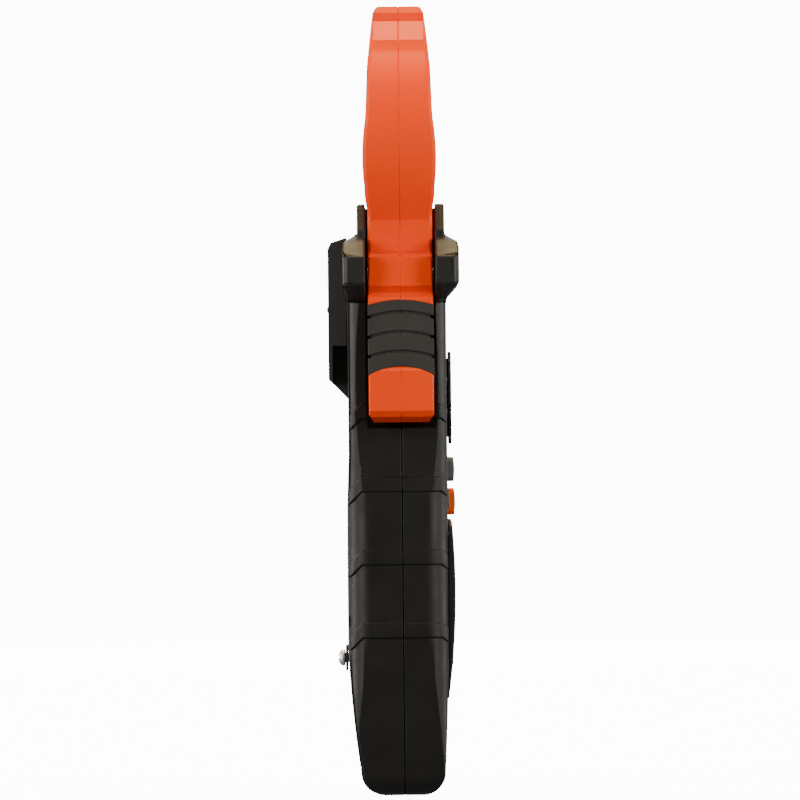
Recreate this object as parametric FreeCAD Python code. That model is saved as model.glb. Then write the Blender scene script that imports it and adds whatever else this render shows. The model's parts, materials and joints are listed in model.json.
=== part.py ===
import FreeCAD, Part
import os
from math import cos, pi, radians, sin, sqrt

# Clamp meter, in millimetres. +Z runs along its length from the flat base, the display faces -Y,
# and the moving jaw with its trigger is on the -X side. Every piece is drawn about the parting
# plane of the mouldings (y = 0) and shifted on export, so that the origin is the centre of the
# base of the bounding box.
V = FreeCAD.Vector

# Overall size
length = 250.0
guard_half_width = 43.0
guard_front = 18.5
guard_back = 18.2
guard_corner = 2.2
holder_face = 22.9
rib_back = 23.4
centre_shift = (guard_front - rib_back) / 2

# Jaws
ring_z = 202.5
opening_radius = 22.0
jaw_half_width = 38.0
split_gap = 0.4
core_inner = 25.4
core_outer = 31.0
core_half_depth = 5.0
coil_clearance = 0.1
coil_inner = 24.3
coil_outer = 32.0
coil_half_depth = 7.0
coil_half_angle = 38

# Rubber grip on the lever
grip_inner_x = -33.4
grip_half_width = 10.35
grip_grooves = (152.4, 146.1, 140.0)

# Pivot
pivot_x = -22.0
pivot_z = 164.0
hub_radius = 8.5
pin_radius = 2.5
pin_clearance = 0.05
bush_radius = 4.0
pin_half_length = 15.5
hub_half_depth = 10.2
cheek_inner = 11.0
cheek_outer = 14.0
cheek_end = 37.0
end_wall = 1.6
boss_radius = 5.0
boss_face = 10.5

# Body: half width, front depth and back depth at the heights where each outline changes
bottom_round = 7.2
widths = {"low": 29.8, "belly": 32.9, "hip": 32.8, "waist": 31.0, "top": 32.0}
width_heights = {"belly": 50.0, "hip": 95.0, "waist": 128.0}
front_depths = {"low": 13.0, "middle": 13.9, "top": 14.3}
front_heights = {"middle": 30.0, "flat": 60.0}
back_depths = {"low": 13.7, "middle": 16.4, "belly": 17.5, "hip": 17.4, "waist": 16.8, "top": 16.9}
back_heights = {"middle": 30.0, "belly": 75.0, "hip": 92.0, "waist": 108.0}
body_top = 155.7
rubber_corner = 7.0
rubber_thickness = 1.4
rubber_set_back = 0.8
rubber_set_front = 0.3
panel_margin = 6.0
wall = 2.0
rubber_seam = 0.15

# Raised bands of the rubber
band_first_z = 52.3
band_pitch = 23.0
band_count = 4
band_height = 4.5
band_proud = 0.6

# Trigger slot in the body
slot_floor_radius = 48.8
slot_lip_x = -36.0
slot_depth_x = -15.6
slot_half_width = 10.9
pocket_wall = 1.2

# Front panel
dial_z = 125.4
dial_radius = 14.65
barrel_radius = 12.5
hole_clearance = 0.5
rotor_front = -10.0
rotor_back = -8.8
board_front = -8.2
board_back = -6.6
button_gap = 0.35
button_travel = 0.8
# name: x, z, width, height, face
buttons = {
    "hold_button": (-17.0, 102.7, 13.0, 7.4, -16.5),
    "range_button": (17.0, 102.7, 13.0, 7.4, -16.5),
    "select_button": (0.0, 92.4, 15.0, 8.4, -16.8),
    "peak_button": (-19.0, 93.2, 11.0, 6.2, -14.9),
    "zero_button": (19.0, 93.2, 11.0, 6.2, -14.9),
}

# Display
bezel_half_width = 25.5
bezel_bottom = 30.5
bezel_top = 86.6
window_half_width = 20.5
window_bottom = 41.0
window_top = 79.0

# Input sockets
jack_x = 9.5
jack_y = -3.6
jack_bore = 2.0
jack_sleeve = 2.8
shroud_bore = 3.6
shroud_radius = 4.3

# Battery bay
cell_radius = 5.25
cell_length = 44.5
cell_y = 7.1
cell_first_z = 13.3
cell_pitch = 10.55
bay_half_width = 24.2
bay_bottom = 8.8
bay_top = 47.6
cover_gap = 0.3
cover_screw_z = 42.9

# Fasteners
screw_places = [(23.0, 147.5), (-22.5, 110.6), (24.0, 55.0), (-24.0, 55.0)]
post_radius = 3.6
screw_recess = 2.9
screw_seat = 9.0


def box(x0, x1, y0, y1, z0, z1):
    return Part.makeBox(x1 - x0, y1 - y0, z1 - z0, V(x0, y0, z0))


def rod(radius, y0, y1, x, z):
    """Cylinder along Y."""
    return Part.makeCylinder(radius, y1 - y0, V(x, y0, z), V(0, 1, 0))


def post(radius, z0, z1, x, y):
    """Cylinder along Z."""
    return Part.makeCylinder(radius, z1 - z0, V(x, y, z0), V(0, 0, 1))


def bar(radius, x0, x1, y, z):
    """Cylinder along X."""
    return Part.makeCylinder(radius, x1 - x0, V(x0, y, z), V(1, 0, 0))


def outline(points, place):
    """Closed wire of straight runs, with an arc wherever a point is given as ("arc", middle, end)."""
    edges = []
    start = points[0]
    for point in points[1:] + [points[0]]:
        if point[0] == "arc":
            edges.append(Part.Arc(place(start), place(point[1]), place(point[2])).toShape())
            start = point[2]
        elif place(point) != place(start):
            edges.append(Part.makeLine(place(start), place(point)))
            start = point
    return Part.Wire(edges)


def plate(points, y0, y1):
    """Front-view outline of (x, z) points, drawn out along Y."""
    wire = outline(points, lambda p: V(p[0], y0, p[1]))
    return Part.Face(wire).extrude(V(0, y1 - y0, 0))


def slab(points, x0, x1):
    """Side-view outline of (y, z) points, drawn out along X."""
    wire = outline(points, lambda p: V(x0, p[0], p[1]))
    return Part.Face(wire).extrude(V(x1 - x0, 0, 0))


def rounded_section(z, half_width, front, back, corner):
    """Horizontal rounded rectangle from y = -front to y = back."""
    tuck = corner * (1 - cos(pi / 4))
    x = half_width
    points = [
        (x - corner, -front),
        ("arc", (x - tuck, -front + tuck), (x, -front + corner)),
        (x, back - corner),
        ("arc", (x - tuck, back - tuck), (x - corner, back)),
        (-x + corner, back),
        ("arc", (-x + tuck, back - tuck), (-x, back - corner)),
        (-x, -front + corner),
        ("arc", (-x + tuck, -front + tuck), (-x + corner, -front)),
    ]
    return outline(points, lambda p: V(p[0], p[1], z))


def rounded_plate(half_width, z0, z1, corner, y0, y1, x=0.0):
    """Front-view rounded rectangle drawn out along Y."""
    tuck = corner * (1 - cos(pi / 4))
    a = x - half_width
    b = x + half_width
    points = [
        (b - corner, z0),
        ("arc", (b - tuck, z0 + tuck), (b, z0 + corner)),
        (b, z1 - corner),
        ("arc", (b - tuck, z1 - tuck), (b - corner, z1)),
        (a + corner, z1),
        ("arc", (a + tuck, z1 - tuck), (a, z1 - corner)),
        (a, z0 + corner),
        ("arc", (a + tuck, z0 + tuck), (a + corner, z0)),
    ]
    return plate(points, y0, y1)


def body_front_view(side, floor):
    """Front-view outline of the body with its sides moved in and its base raised."""
    tuck = bottom_round * (1 - cos(pi / 4))
    low = floor + bottom_round
    w = {name: width - side for name, width in widths.items()}
    points = [(-w["low"] + bottom_round, floor), (w["low"] - bottom_round, floor)]
    points.append(("arc", (w["low"] - tuck, floor + tuck), (w["low"], low)))
    points.append(("arc", (w["belly"], width_heights["belly"]), (w["hip"], width_heights["hip"])))
    points.append(("arc", (w["waist"], width_heights["waist"]), (w["top"], body_top)))
    points.append((-w["top"], body_top))
    points.append(("arc", (-w["waist"], width_heights["waist"]), (-w["hip"], width_heights["hip"])))
    points.append(("arc", (-w["belly"], width_heights["belly"]), (-w["low"], low)))
    points.append(("arc", (-w["low"] + tuck, floor + tuck), (-w["low"] + bottom_round, floor)))
    return points


def body_side_view(front, back, floor):
    """Side-view outline of the body with its front and back moved in and its base raised."""
    tuck = bottom_round * (1 - cos(pi / 4))
    low = floor + bottom_round
    f = {name: front - depth for name, depth in front_depths.items()}
    b = {name: depth - back for name, depth in back_depths.items()}
    return [
        (f["low"], low),
        ("arc", (f["middle"], front_heights["middle"]), (f["top"], front_heights["flat"])),
        (f["top"], body_top),
        (b["top"], body_top),
        (b["waist"], back_heights["waist"]),
        (b["hip"], back_heights["hip"]),
        (b["belly"], back_heights["belly"]),
        ("arc", (b["middle"], back_heights["middle"]), (b["low"], low)),
        ("arc", (b["low"] - tuck, floor + tuck), (b["low"] - bottom_round, floor)),
        (f["low"] + bottom_round, floor),
        ("arc", (f["low"] + tuck, floor + tuck), (f["low"], low)),
    ]


def body_shape(side, front, back, corner, floor=0.0):
    """Body with its sides, front and back moved in: front, side and plan outlines crossed."""
    plan = rounded_section(-1.0, max(widths.values()) - side, max(front_depths.values()) - front,
                           max(back_depths.values()) - back, corner)
    column = Part.Face(plan).extrude(V(0, 0, length))
    front_view = plate(body_front_view(side, floor), -40, 40)
    side_view = slab(body_side_view(front, back, floor), -60, 60)
    return column.common(front_view).common(side_view)


def half_space(front, gap=0.0):
    """Block that holds everything on one side of the parting plane, less half the seam."""
    if front:
        return box(-60, 60, -40, -gap, -10, 300)
    return box(-60, 60, gap, 40, -10, 300)


def ring_point(radius, degrees):
    return (radius * cos(radians(degrees)), ring_z + radius * sin(radians(degrees)))


def ring_sector(inner, outer, start, end, half_depth):
    """Part of a ring about the jaw centre, between two angles from +X."""
    middle = (start + end) / 2
    points = [
        ring_point(outer, start),
        ("arc", ring_point(outer, middle), ring_point(outer, end)),
        ring_point(inner, end),
        ("arc", ring_point(inner, middle), ring_point(inner, start)),
    ]
    return plate(points, -half_depth, half_depth)


def written(name, shape):
    """Move a piece to the exported frame and write it."""
    moved = shape.copy()
    moved.translate(V(0, centre_shift, 0))
    moved.exportStep("parts/" + name + ".step")


# ---------------------------------------------------------------- jaws

def jaw_thickness():
    """Side profile of both jaws: tapered nose, swelling at the ring centre, plain lower part."""
    side = [
        (7.0, 250.0),
        (8.1, 247.9),
        (8.5, 244.9),
        (10.0, 230.0),
        (10.5, 216.0),
        (10.7, 213.0),
        ("arc", (11.6, ring_z), (11.1, 192.0)),
        (11.0, 189.0),
        (hub_half_depth, 184.5),
        (hub_half_depth, 100.0),
    ]
    mirrored = [(-hub_half_depth, 100.0), (-hub_half_depth, 184.5), (-11.0, 189.0), (-11.1, 192.0)]
    mirrored += [("arc", (-11.6, ring_z), (-10.7, 213.0)), (-10.5, 216.0), (-10.0, 230.0)]
    mirrored += [(-8.5, 244.9), (-8.1, 247.9), (-7.0, 250.0)]
    return slab(side + mirrored, -60, 60)


def moving_jaw_outline():
    return [
        (-split_gap, 241.0),
        (-7.4, 243.3),
        (-8.2, 243.3),
        (-8.2, 245.2),
        (-10.6, 245.0),
        (-20.5, 238.6),
        (-22.2, 235.4),
        ("arc", (-33.85, 220.75), (-jaw_half_width, ring_z)),
        ("arc", (-36.34, 191.5), (-31.5, 181.5)),
        (-31.0, 171.4),
        (-37.4, 169.8),
        (-38.0, 160.6),
        (-36.0, 158.6),
        (-37.6, 156.6),
        (-41.2, 136.0),
        (-42.6, 134.0),
        (-42.6, 121.4),
        (-41.0, 119.5),
        (-36.0, 117.8),
        (-34.6, 119.0),
        (-31.0, 147.0),
        (pivot_x - 5.2, pivot_z - sqrt(hub_radius ** 2 - 5.2 ** 2)),
        ("arc", (pivot_x + 3.5, pivot_z - sqrt(hub_radius ** 2 - 3.5 ** 2)), (pivot_x + hub_radius, pivot_z)),
        (-8.0, 167.0),
        (-split_gap, 168.0),
        ring_point_at_split(opening_radius, -1, -1),
        ("arc", (-opening_radius, ring_z), ring_point_at_split(opening_radius, -1, 1)),
    ]


def ring_point_at_split(radius, side, up):
    """Point where a ring circle meets the split between the jaws."""
    return (side * split_gap, ring_z + up * sqrt(radius ** 2 - split_gap ** 2))


def fixed_jaw_outline():
    return [
        (split_gap, 241.8),
        (-7.0, 244.2),
        (-7.0, 247.8),
        (-5.0, length),
        (4.0, length),
        ("arc", (29.0, 234.0), (jaw_half_width, ring_z)),
        ("arc", (36.34, 191.5), (31.5, 181.5)),
        (30.5, 160.0),
        (26.0, 152.0),
        (5.0, 152.0),
        (split_gap, 166.0),
        ring_point_at_split(opening_radius, 1, -1),
        ("arc", (opening_radius, ring_z), ring_point_at_split(opening_radius, 1, 1)),
    ]


def jaw_shell(points, angles, extra=None):
    """Front and rear mouldings of one jaw, hollow round its core."""
    solid = plate(points, -14, 14).common(jaw_thickness())
    if extra:
        solid = solid.fuse(extra)
    hollow = ring_sector(coil_inner - coil_clearance, coil_outer + coil_clearance, angles[0], angles[1],
                         coil_half_depth + coil_clearance)
    solid = solid.cut(hollow)
    return solid.common(half_space(True)), solid.common(half_space(False))


def alignment_marks(x):
    """Small sunk triangles at the ring centre, on both faces of a jaw."""
    mark = [(x - 2.0, ring_z), (x + 1.2, ring_z - 1.4), (x + 1.2, ring_z + 1.4)]
    return plate(mark, -13, -11.2).fuse(plate(mark, 11.2, 13))


def moving_jaw():
    front, rear = jaw_shell(moving_jaw_outline(), (91.0, 269.0))
    bore = rod(bush_radius, -15, 15, pivot_x, pivot_z)
    spring_seat = rod(7.6, -12, -5.4, pivot_x, pivot_z)
    spring_seat = spring_seat.cut(rod(bush_radius + 1.0, -12, -5.4, pivot_x, pivot_z))
    recess = jaw_screw_holes()
    cutters = bore.fuse(spring_seat).fuse(grip_sleeve()).fuse(alignment_marks(-30.0))
    written("moving_jaw_front_shell", front.cut(cutters).cut(recess))
    written("moving_jaw_rear_shell", rear.cut(cutters).cut(recess))
    core = ring_sector(core_inner, core_outer, 91.0, 269.0, core_half_depth)
    written("moving_jaw_core", core)
    written("moving_jaw_coil", coil(180))
    bush = rod(bush_radius, -hub_half_depth, hub_half_depth, pivot_x, pivot_z)
    written("pivot_bush", bush.cut(rod(pin_radius + pin_clearance, -15, 15, pivot_x, pivot_z)))


def coil(centre):
    """Winding round the side of a core."""
    start = centre - coil_half_angle
    end = centre + coil_half_angle
    winding = ring_sector(coil_inner, coil_outer, start, end, coil_half_depth)
    window = ring_sector(core_inner - coil_clearance, core_outer + coil_clearance, start - 5, end + 5,
                         core_half_depth + coil_clearance)
    return winding.cut(window)


def grip_profile():
    """Side-view outline of the rubber grip, arched at both ends."""
    y = grip_half_width
    return [
        (-y, 154.6),
        ("arc", (0.0, 156.3), (y, 154.6)),
        (y, 132.5),
        ("arc", (0.0, 135.3), (-y, 132.5)),
    ]


def grip_sleeve():
    """Room for the rubber round the lever, with the lever's own core left out."""
    sleeve = slab(grip_profile(), -46.0, grip_inner_x)
    core = plate([(-38.0, 157.5), (-41.0, 131.0), (-20.0, 131.0), (-20.0, 157.5)], -8.3, 8.3)
    return sleeve.cut(core)


def trigger_grip():
    """Rubber grip halves with three arched grooves."""
    skin = plate([(-39.0, 157.0), (-42.8, 131.0), (grip_inner_x, 131.0), (grip_inner_x, 157.0)],
                 -grip_half_width, grip_half_width)
    keep = plate([(-38.2, 157.0), (-42.0, 131.0), (grip_inner_x, 131.0), (grip_inner_x, 157.0)], -9.3, 9.3)
    sleeve = grip_sleeve().common(skin)
    for centre in grip_grooves:
        groove = slab([
            (-12.0, centre - 1.9),
            ("arc", (0.0, centre + 0.45), (12.0, centre - 1.9)),
            (12.0, centre - 2.8),
            ("arc", (0.0, centre - 0.45), (-12.0, centre - 2.8)),
        ], -50, -30)
        sleeve = sleeve.cut(groove.cut(keep))
    for front, name in ((True, "trigger_grip_front"), (False, "trigger_grip_rear")):
        written(name, sleeve.common(half_space(front)))


jaw_screw_places = [(-14.5, 171.5), (-35.6, 128.0)]


def jaw_screw_holes():
    """Holes for the screws that close the moving jaw, sunk in its rear moulding."""
    holes = []
    for x, z in jaw_screw_places:
        holes.append(rod(1.2, -7.0, 12.0, x, z))
        holes.append(rod(2.3, 7.8, 12.0, x, z))
    return Part.makeCompound(holes)


def jaw_screws():
    screws = []
    for x, z in jaw_screw_places:
        screws.append(screw(x, z, 7.8, 1.2, 2.2, 1.7, 13.0))
    written("jaw_screws", Part.makeCompound(screws))


def screw(x, z, seat, shank_radius, head_radius, head_height, shank_length):
    """Pan-head screw along Y, head towards +Y, with a cross recess."""
    shank = rod(shank_radius, seat - shank_length, seat, x, z)
    head = rod(head_radius, seat, seat + head_height, x, z)
    arm = head_radius * 0.62
    depth = head_height * 0.5
    top = seat + head_height
    slot_a = box(x - arm, x + arm, top - depth, top + 1, z - 0.22, z + 0.22)
    slot_b = box(x - 0.22, x + 0.22, top - depth, top + 1, z - arm, z + arm)
    return shank.fuse(head).cut(slot_a.fuse(slot_b))


def fixed_jaw():
    root = box(6.0, 27.0, -cheek_inner, cheek_inner, 153.0, 170.0)
    front, rear = jaw_shell(fixed_jaw_outline(), (-89.0, 89.0), root)
    marks = alignment_marks(30.0)
    written("fixed_jaw_front_shell", front.cut(marks))
    written("fixed_jaw_rear_shell", rear.cut(marks))
    core = ring_sector(core_inner, core_outer, -89.0, 89.0, core_half_depth)
    gap = ring_sector(core_inner - 1, core_outer + 1, -71.0, -65.5, core_half_depth + 1)
    written("fixed_jaw_core", core.cut(gap))
    sensor = ring_sector(core_inner + 0.8, core_outer - 0.8, -70.0, -66.5, 3.0)
    written("field_sensor", sensor)
    written("fixed_jaw_coil", coil(0))


def pivot():
    pin = rod(pin_radius, -pin_half_length, pin_half_length, pivot_x, pivot_z)
    written("pivot_pin", pin)
    wire_radius = 0.45
    coil_radius = 6.3
    turns = 3
    pitch = 1.1
    helix = Part.makeHelix(pitch, pitch * turns, coil_radius)
    section = Part.Wire(Part.makeCircle(wire_radius, V(coil_radius, 0, 0), V(0, 1, 0)))
    spring = Part.Wire(helix.Edges).makePipeShell([section], True, True)
    spring.rotate(V(0, 0, 0), V(1, 0, 0), 90)
    spring.translate(V(pivot_x, -6.0, pivot_z))
    written("return_spring", spring)


# ---------------------------------------------------------------- housing and rubber

def guard_block():
    """Hand guard: front-view, side-view and plan outlines crossed."""
    front_view = plate([
        (-33.0, body_top),
        (-35.0, 156.6),
        (-guard_half_width, 161.2),
        (-guard_half_width, 169.7),
        (-35.0, 174.4),
        (-27.0, 177.0),
        (27.0, 177.0),
        (35.0, 174.4),
        (guard_half_width, 169.7),
        (guard_half_width, 161.2),
        (35.0, 156.6),
        (33.0, body_top),
    ], -30, 30)
    side_view = slab([
        (-14.3, body_top),
        (-14.8, 157.2),
        (-guard_front, 161.4),
        (-guard_front, 172.6),
        (-18.0, 174.6),
        (-14.0, 177.0),
        (14.0, 177.0),
        (17.8, 174.6),
        (guard_back, 172.6),
        (guard_back, 161.4),
        (17.2, 157.2),
        (16.9, body_top),
    ], -60, 60)
    plan = Part.Face(rounded_section(150.0, guard_half_width, guard_front, guard_back, guard_corner))
    return front_view.common(side_view).common(plan.extrude(V(0, 0, 30)))


def cheeks():
    """Upright walls in front of and behind the jaw root, dished round the ring opening."""
    points = [
        (-30.5, 172.0),
        (-30.5, 178.0),
        (-24.6, 186.6),
        (-22.5, 186.7),
        ("arc", (0.0, 175.0), (22.5, 186.7)),
        (cheek_end, 186.6),
        (cheek_end, 172.0),
    ]
    walls = plate(points, -cheek_outer, -cheek_inner).fuse(plate(points, cheek_inner, cheek_outer - 0.4))
    end = box(cheek_end - end_wall, cheek_end, -cheek_outer, cheek_outer - 0.4, 172.0, 186.6)
    return walls.fuse(end)


def pivot_bosses():
    """Raised rings round the pivot pin on the inner faces of both cheeks."""
    front = rod(boss_radius, -cheek_inner, -boss_face, pivot_x, pivot_z)
    return front.fuse(rod(boss_radius, boss_face, cheek_inner, pivot_x, pivot_z))


def jaw_well():
    """Room for both jaw roots, open towards the trigger side."""
    return box(-60, 32.6, -cheek_inner, cheek_inner, body_top - 4.0, 200)


def panel():
    """Hard front and back faces, narrower than the body and slightly proud of the rubber."""
    return body_shape(panel_margin, 0.0, 0.0, 1.6, 0.0)


def hard_core():
    """Everything hard: the panel and the narrower part under the rubber."""
    inner = body_shape(rubber_thickness, rubber_thickness + rubber_set_front,
                      rubber_thickness + rubber_set_back, 5.8, 0.0)
    return panel().fuse(inner)


def cavity():
    """Inside of the housing."""
    return body_shape(rubber_thickness + wall, 3.0, 3.2, 4.2, 3.0)


def trigger_slot():
    """Slot for the lever, open at the side and above, its floor rounded about the pivot."""
    def floor(x):
        return pivot_z - sqrt(slot_floor_radius ** 2 - (x - pivot_x) ** 2)
    points = [
        (-60.0, floor(slot_lip_x)),
        (slot_lip_x, floor(slot_lip_x)),
        ("arc", (pivot_x, floor(pivot_x)), (slot_depth_x, floor(slot_depth_x))),
        (slot_depth_x, 200.0),
        (-60.0, 200.0),
    ]
    return plate(points, -slot_half_width, slot_half_width)


def trigger_pocket():
    """Walls that close the slot off from the inside of the body."""
    lowest = pivot_z - slot_floor_radius
    floor = box(-28.0, slot_depth_x + pocket_wall, -20, 20, lowest - pocket_wall, lowest + 1.0)
    side = box(slot_depth_x, slot_depth_x + pocket_wall, -20, 20, lowest, body_top - 4.0)
    return floor.fuse(side).common(cavity()).cut(trigger_slot())


def screw_posts():
    posts = []
    for x, z in screw_places:
        posts.append(rod(post_radius, -12.2, 15.0, x, z))
    return posts


def front_openings():
    """Holes of the front face: dial, buttons and display."""
    holes = [rod(barrel_radius + hole_clearance, -20, -9, 0, dial_z)]
    for x, z, width, height, face in buttons.values():
        holes.append(rounded_plate(width / 2 + button_gap, z - height / 2 - button_gap,
                                   z + height / 2 + button_gap, 2.0, -20, -9, x))
    holes.append(rounded_plate(22.6, 39.0, 81.4, 2.5, -20, -9))
    return Part.makeCompound(holes)


def socket_holes():
    holes = []
    for x in (-jack_x, jack_x):
        holes.append(post(shroud_radius, -1.0, 20.0, x, jack_y))
    return Part.makeCompound(holes)


def housing():
    """Front and rear hard mouldings."""
    shell = hard_core().fuse(guard_block()).fuse(cheeks())
    shell = shell.cut(cavity()).cut(jaw_well()).cut(trigger_slot()).fuse(trigger_pocket())
    shell = shell.fuse(pivot_bosses())
    core_box = hard_core()
    front = shell.common(half_space(True))
    rear = shell.common(half_space(False))
    for column in screw_posts():
        column = column.common(core_box).cut(trigger_slot())
        front = front.fuse(column.common(half_space(True)))
        rear = rear.fuse(column.common(half_space(False)))
    pin_hole = rod(pin_radius, -pin_half_length, pin_half_length, pivot_x, pivot_z)
    front = front.cut(front_openings()).cut(socket_holes()).cut(pin_hole)
    rear = rear.cut(socket_holes()).cut(pin_hole)
    for x, z in screw_places:
        front = front.cut(rod(1.3, -7.0, 0.1, x, z))
        rear = rear.cut(rod(1.5, -0.1, screw_seat, x, z)).cut(rod(screw_recess, screw_seat, 20.0, x, z))
    bay = box(-bay_half_width, bay_half_width, 6.0, 30.0, bay_bottom, bay_top)
    insert_boss = rod(3.0, 6.5, 13.0, 0, cover_screw_z)
    bridge = box(-29.6, 29.6, 6.5, 9.5, cover_screw_z - 2.4, bay_top + 1.0).common(core_box)
    rear = rear.cut(bay).fuse(bridge.fuse(insert_boss)).cut(rod(2.3, 5.0, 20.0, 0, cover_screw_z))
    rear = rear.cut(holder_screw_holes())
    written("front_housing", front.removeSplitter())
    written("rear_housing", rear.removeSplitter())


def band(z):
    """Band outline from the side, with both ends bent down."""
    half = band_height / 2
    return slab([
        (-16.5, z + half - 4.0),
        (-12.5, z + half),
        (12.8, z + half),
        (17.5, z + half - 4.6),
        (17.5, z - half - 4.6),
        (12.8, z - half),
        (-12.5, z - half),
        (-16.5, z - half - 4.0),
    ], -60, 60)


def rubber():
    """Overmoulded sides with raised bands, in two halves."""
    skin = body_shape(0.0, rubber_set_front, rubber_set_back, rubber_corner)
    proud = body_shape(-band_proud, rubber_set_front - 0.25, rubber_set_back - 0.35, rubber_corner)
    raised = []
    for step in range(band_count):
        raised.append(proud.common(band(band_first_z + band_pitch * step)))
    skin = skin.multiFuse(raised)
    skin = skin.cut(hard_core()).cut(cavity()).cut(trigger_slot())
    middle = box(-26.0, 26.0, -60, 60, bottom_round, 200)
    for front, name in ((True, "front_rubber"), (False, "rear_rubber")):
        half = skin.cut(middle).common(half_space(front, rubber_seam)).cut(socket_holes())
        strips = [solid for solid in half.Solids if solid.Volume > 20.0]
        written(name, Part.makeCompound(strips))


# ---------------------------------------------------------------- probe holder

holder_half_width = 24.0
channel_inner = 13.0
holder_screw_places = [(-9.0, 165.0), (9.0, 165.0), (0.0, 146.0)]
holder_screw_seat = 20.2


def probe_holder():
    """Block on the back with a channel at each side and a raised rib."""
    profile = [
        (17.0, 176.2),
        (21.9, 174.6),
        (holder_face, 172.6),
        (holder_face, 131.4),
        (17.0, 125.4),
    ]
    block = slab(profile, -holder_half_width, holder_half_width)
    corners = rounded_plate(holder_half_width, 124.0, 178.0, 4.0, 0, 40)
    block = block.common(corners).cut(guard_block())
    rib = bar(1.75, -12.0, 12.0, rib_back - 1.75, 153.6)
    block = block.fuse(rib)
    for side in (-1, 1):
        x0, x1 = sorted((side * channel_inner, side * 40.0))
        block = block.cut(box(x0, x1, 10.0, 21.4, 120.0, 142.0))
    written("probe_holder", block.cut(holder_screw_holes()).removeSplitter())


def holder_screw_holes():
    """Sunk holes from the back, through the holder and into the rear housing."""
    holes = []
    for x, z in holder_screw_places:
        holes.append(rod(1.3, 12.0, holder_screw_seat, x, z))
        holes.append(rod(2.6, holder_screw_seat, 30.0, x, z))
    return Part.makeCompound(holes)


def holder_screws():
    screws = []
    for x, z in holder_screw_places:
        screws.append(screw(x, z, holder_screw_seat, 1.3, 2.4, 1.8, 7.4))
    written("holder_screws", Part.makeCompound(screws))


# ---------------------------------------------------------------- front panel

def dial():
    """Rotary knob with a scalloped rim and a raised bar, its rotor and its contacts."""
    face = -15.85
    flange_back = -14.75
    knob = rod(dial_radius, face, flange_back, 0, dial_z)
    knob = knob.fuse(rod(barrel_radius, flange_back, rotor_front, 0, dial_z))
    for step in range(12):
        angle = radians(30 * step + 15)
        knob = knob.cut(rod(1.5, -20, flange_back, (dial_radius + 0.8) * cos(angle),
                            dial_z + (dial_radius + 0.8) * sin(angle)))
    bowl = rod(dial_radius - 2.2, face - 1, -13.2, 0, dial_z)
    grip_bar = box(-3.2, 3.2, -20, 0, dial_z - 20, dial_z + 20)
    knob = knob.cut(bowl.cut(grip_bar))
    pointer = box(-0.6, 0.6, face - 1, face + 0.4, dial_z + 6.0, dial_z + 13.2)
    knob = knob.cut(pointer)
    for step in range(12):
        angle = radians(30 * step)
        knob = knob.cut(rod(1.1, -11.3, rotor_front, (barrel_radius + 0.4) * cos(angle),
                            dial_z + (barrel_radius + 0.4) * sin(angle)))
    knob = knob.cut(rod(2.5, -12.5, rotor_front, 0, dial_z))
    written("dial_knob", knob.removeSplitter())
    rotor = rod(11.3, rotor_front, rotor_back, 0, dial_z).fuse(rod(2.5, -12.5, rotor_back, 0, dial_z))
    written("dial_rotor", rotor)
    contacts = []
    for step in range(3):
        blade = box(-1.0, 1.0, rotor_back, board_front - 0.1, 5.0, 9.5)
        blade.rotate(V(0, 0, 0), V(0, 1, 0), 120 * step)
        blade.translate(V(0, 0, dial_z))
        contacts.append(blade)
    written("dial_contacts", Part.makeCompound(contacts))
    leaf = box(13.2, 13.6, -11.1, -10.3, dial_z - 9.0, dial_z + 9.0)
    nose = rod(0.9, -11.1, -10.3, barrel_radius + 0.55, dial_z)
    written("dial_detent_spring", leaf.fuse(nose))


def button(x, z, width, height, face):
    """Cap with a rounded face, a retaining flange and a plunger."""
    cap = rounded_plate(width / 2, z - height / 2, z + height / 2, 1.8, face, -11.2, x)
    crown = 26.0
    dome = Part.makeCylinder(crown, width + 2, V(x - width / 2 - 1, face + crown, z), V(1, 0, 0))
    cap = cap.common(dome)
    low = z - height / 2 - 0.45
    high = z + height / 2 + 0.45
    flange = rounded_plate(width / 2 + 0.9, low, high, 1.8, -11.2, -10.6, x)
    plunger = rod(1.4, -10.6, board_front - 1.3 - button_travel - 0.1, x, z)
    return cap.fuse(flange).fuse(plunger)


def button_row():
    switches = []
    for name, (x, z, width, height, face) in buttons.items():
        written(name, button(x, z, width, height, face))
        base = box(x - 2.4, x + 2.4, board_front - 0.9, board_front, z - 2.4, z + 2.4)
        switches.append(base.fuse(rod(1.2, board_front - 1.3, board_front - 0.9, x, z)))
    written("tactile_switches", Part.makeCompound(switches))


def display():
    """Raised bezel with a gently bowed face, its window and what lies behind it."""
    bow = slab([
        (-13.0, bezel_bottom),
        (-14.2, bezel_bottom),
        ("arc", (-16.5, 58.0), (-15.6, bezel_top)),
        (-13.0, bezel_top),
    ], -60, 60)
    frame = rounded_plate(bezel_half_width, bezel_bottom, bezel_top, 5.0, -20, -10).common(bow)
    frame = frame.cut(hard_core())
    glass_hole = rounded_plate(window_half_width, window_bottom, window_top, 2.0, -20, -10)
    frame = frame.cut(glass_hole)
    written("display_bezel", frame)
    bezel_window = rounded_plate(window_half_width, window_bottom, window_top, 2.0, -15.7, -14.6)
    written("display_window", bezel_window)
    module = rounded_plate(21.8, 39.6, 81.0, 0.6, -13.8, -12.6)
    written("display_module", module)
    strip = box(-19.0, 19.0, -12.6, board_front, 78.6, 80.6)
    written("connector_strip", strip)
    light = box(-20.0, 20.0, -12.5, -10.6, 41.0, 77.8)
    written("display_backlight", light)


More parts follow.
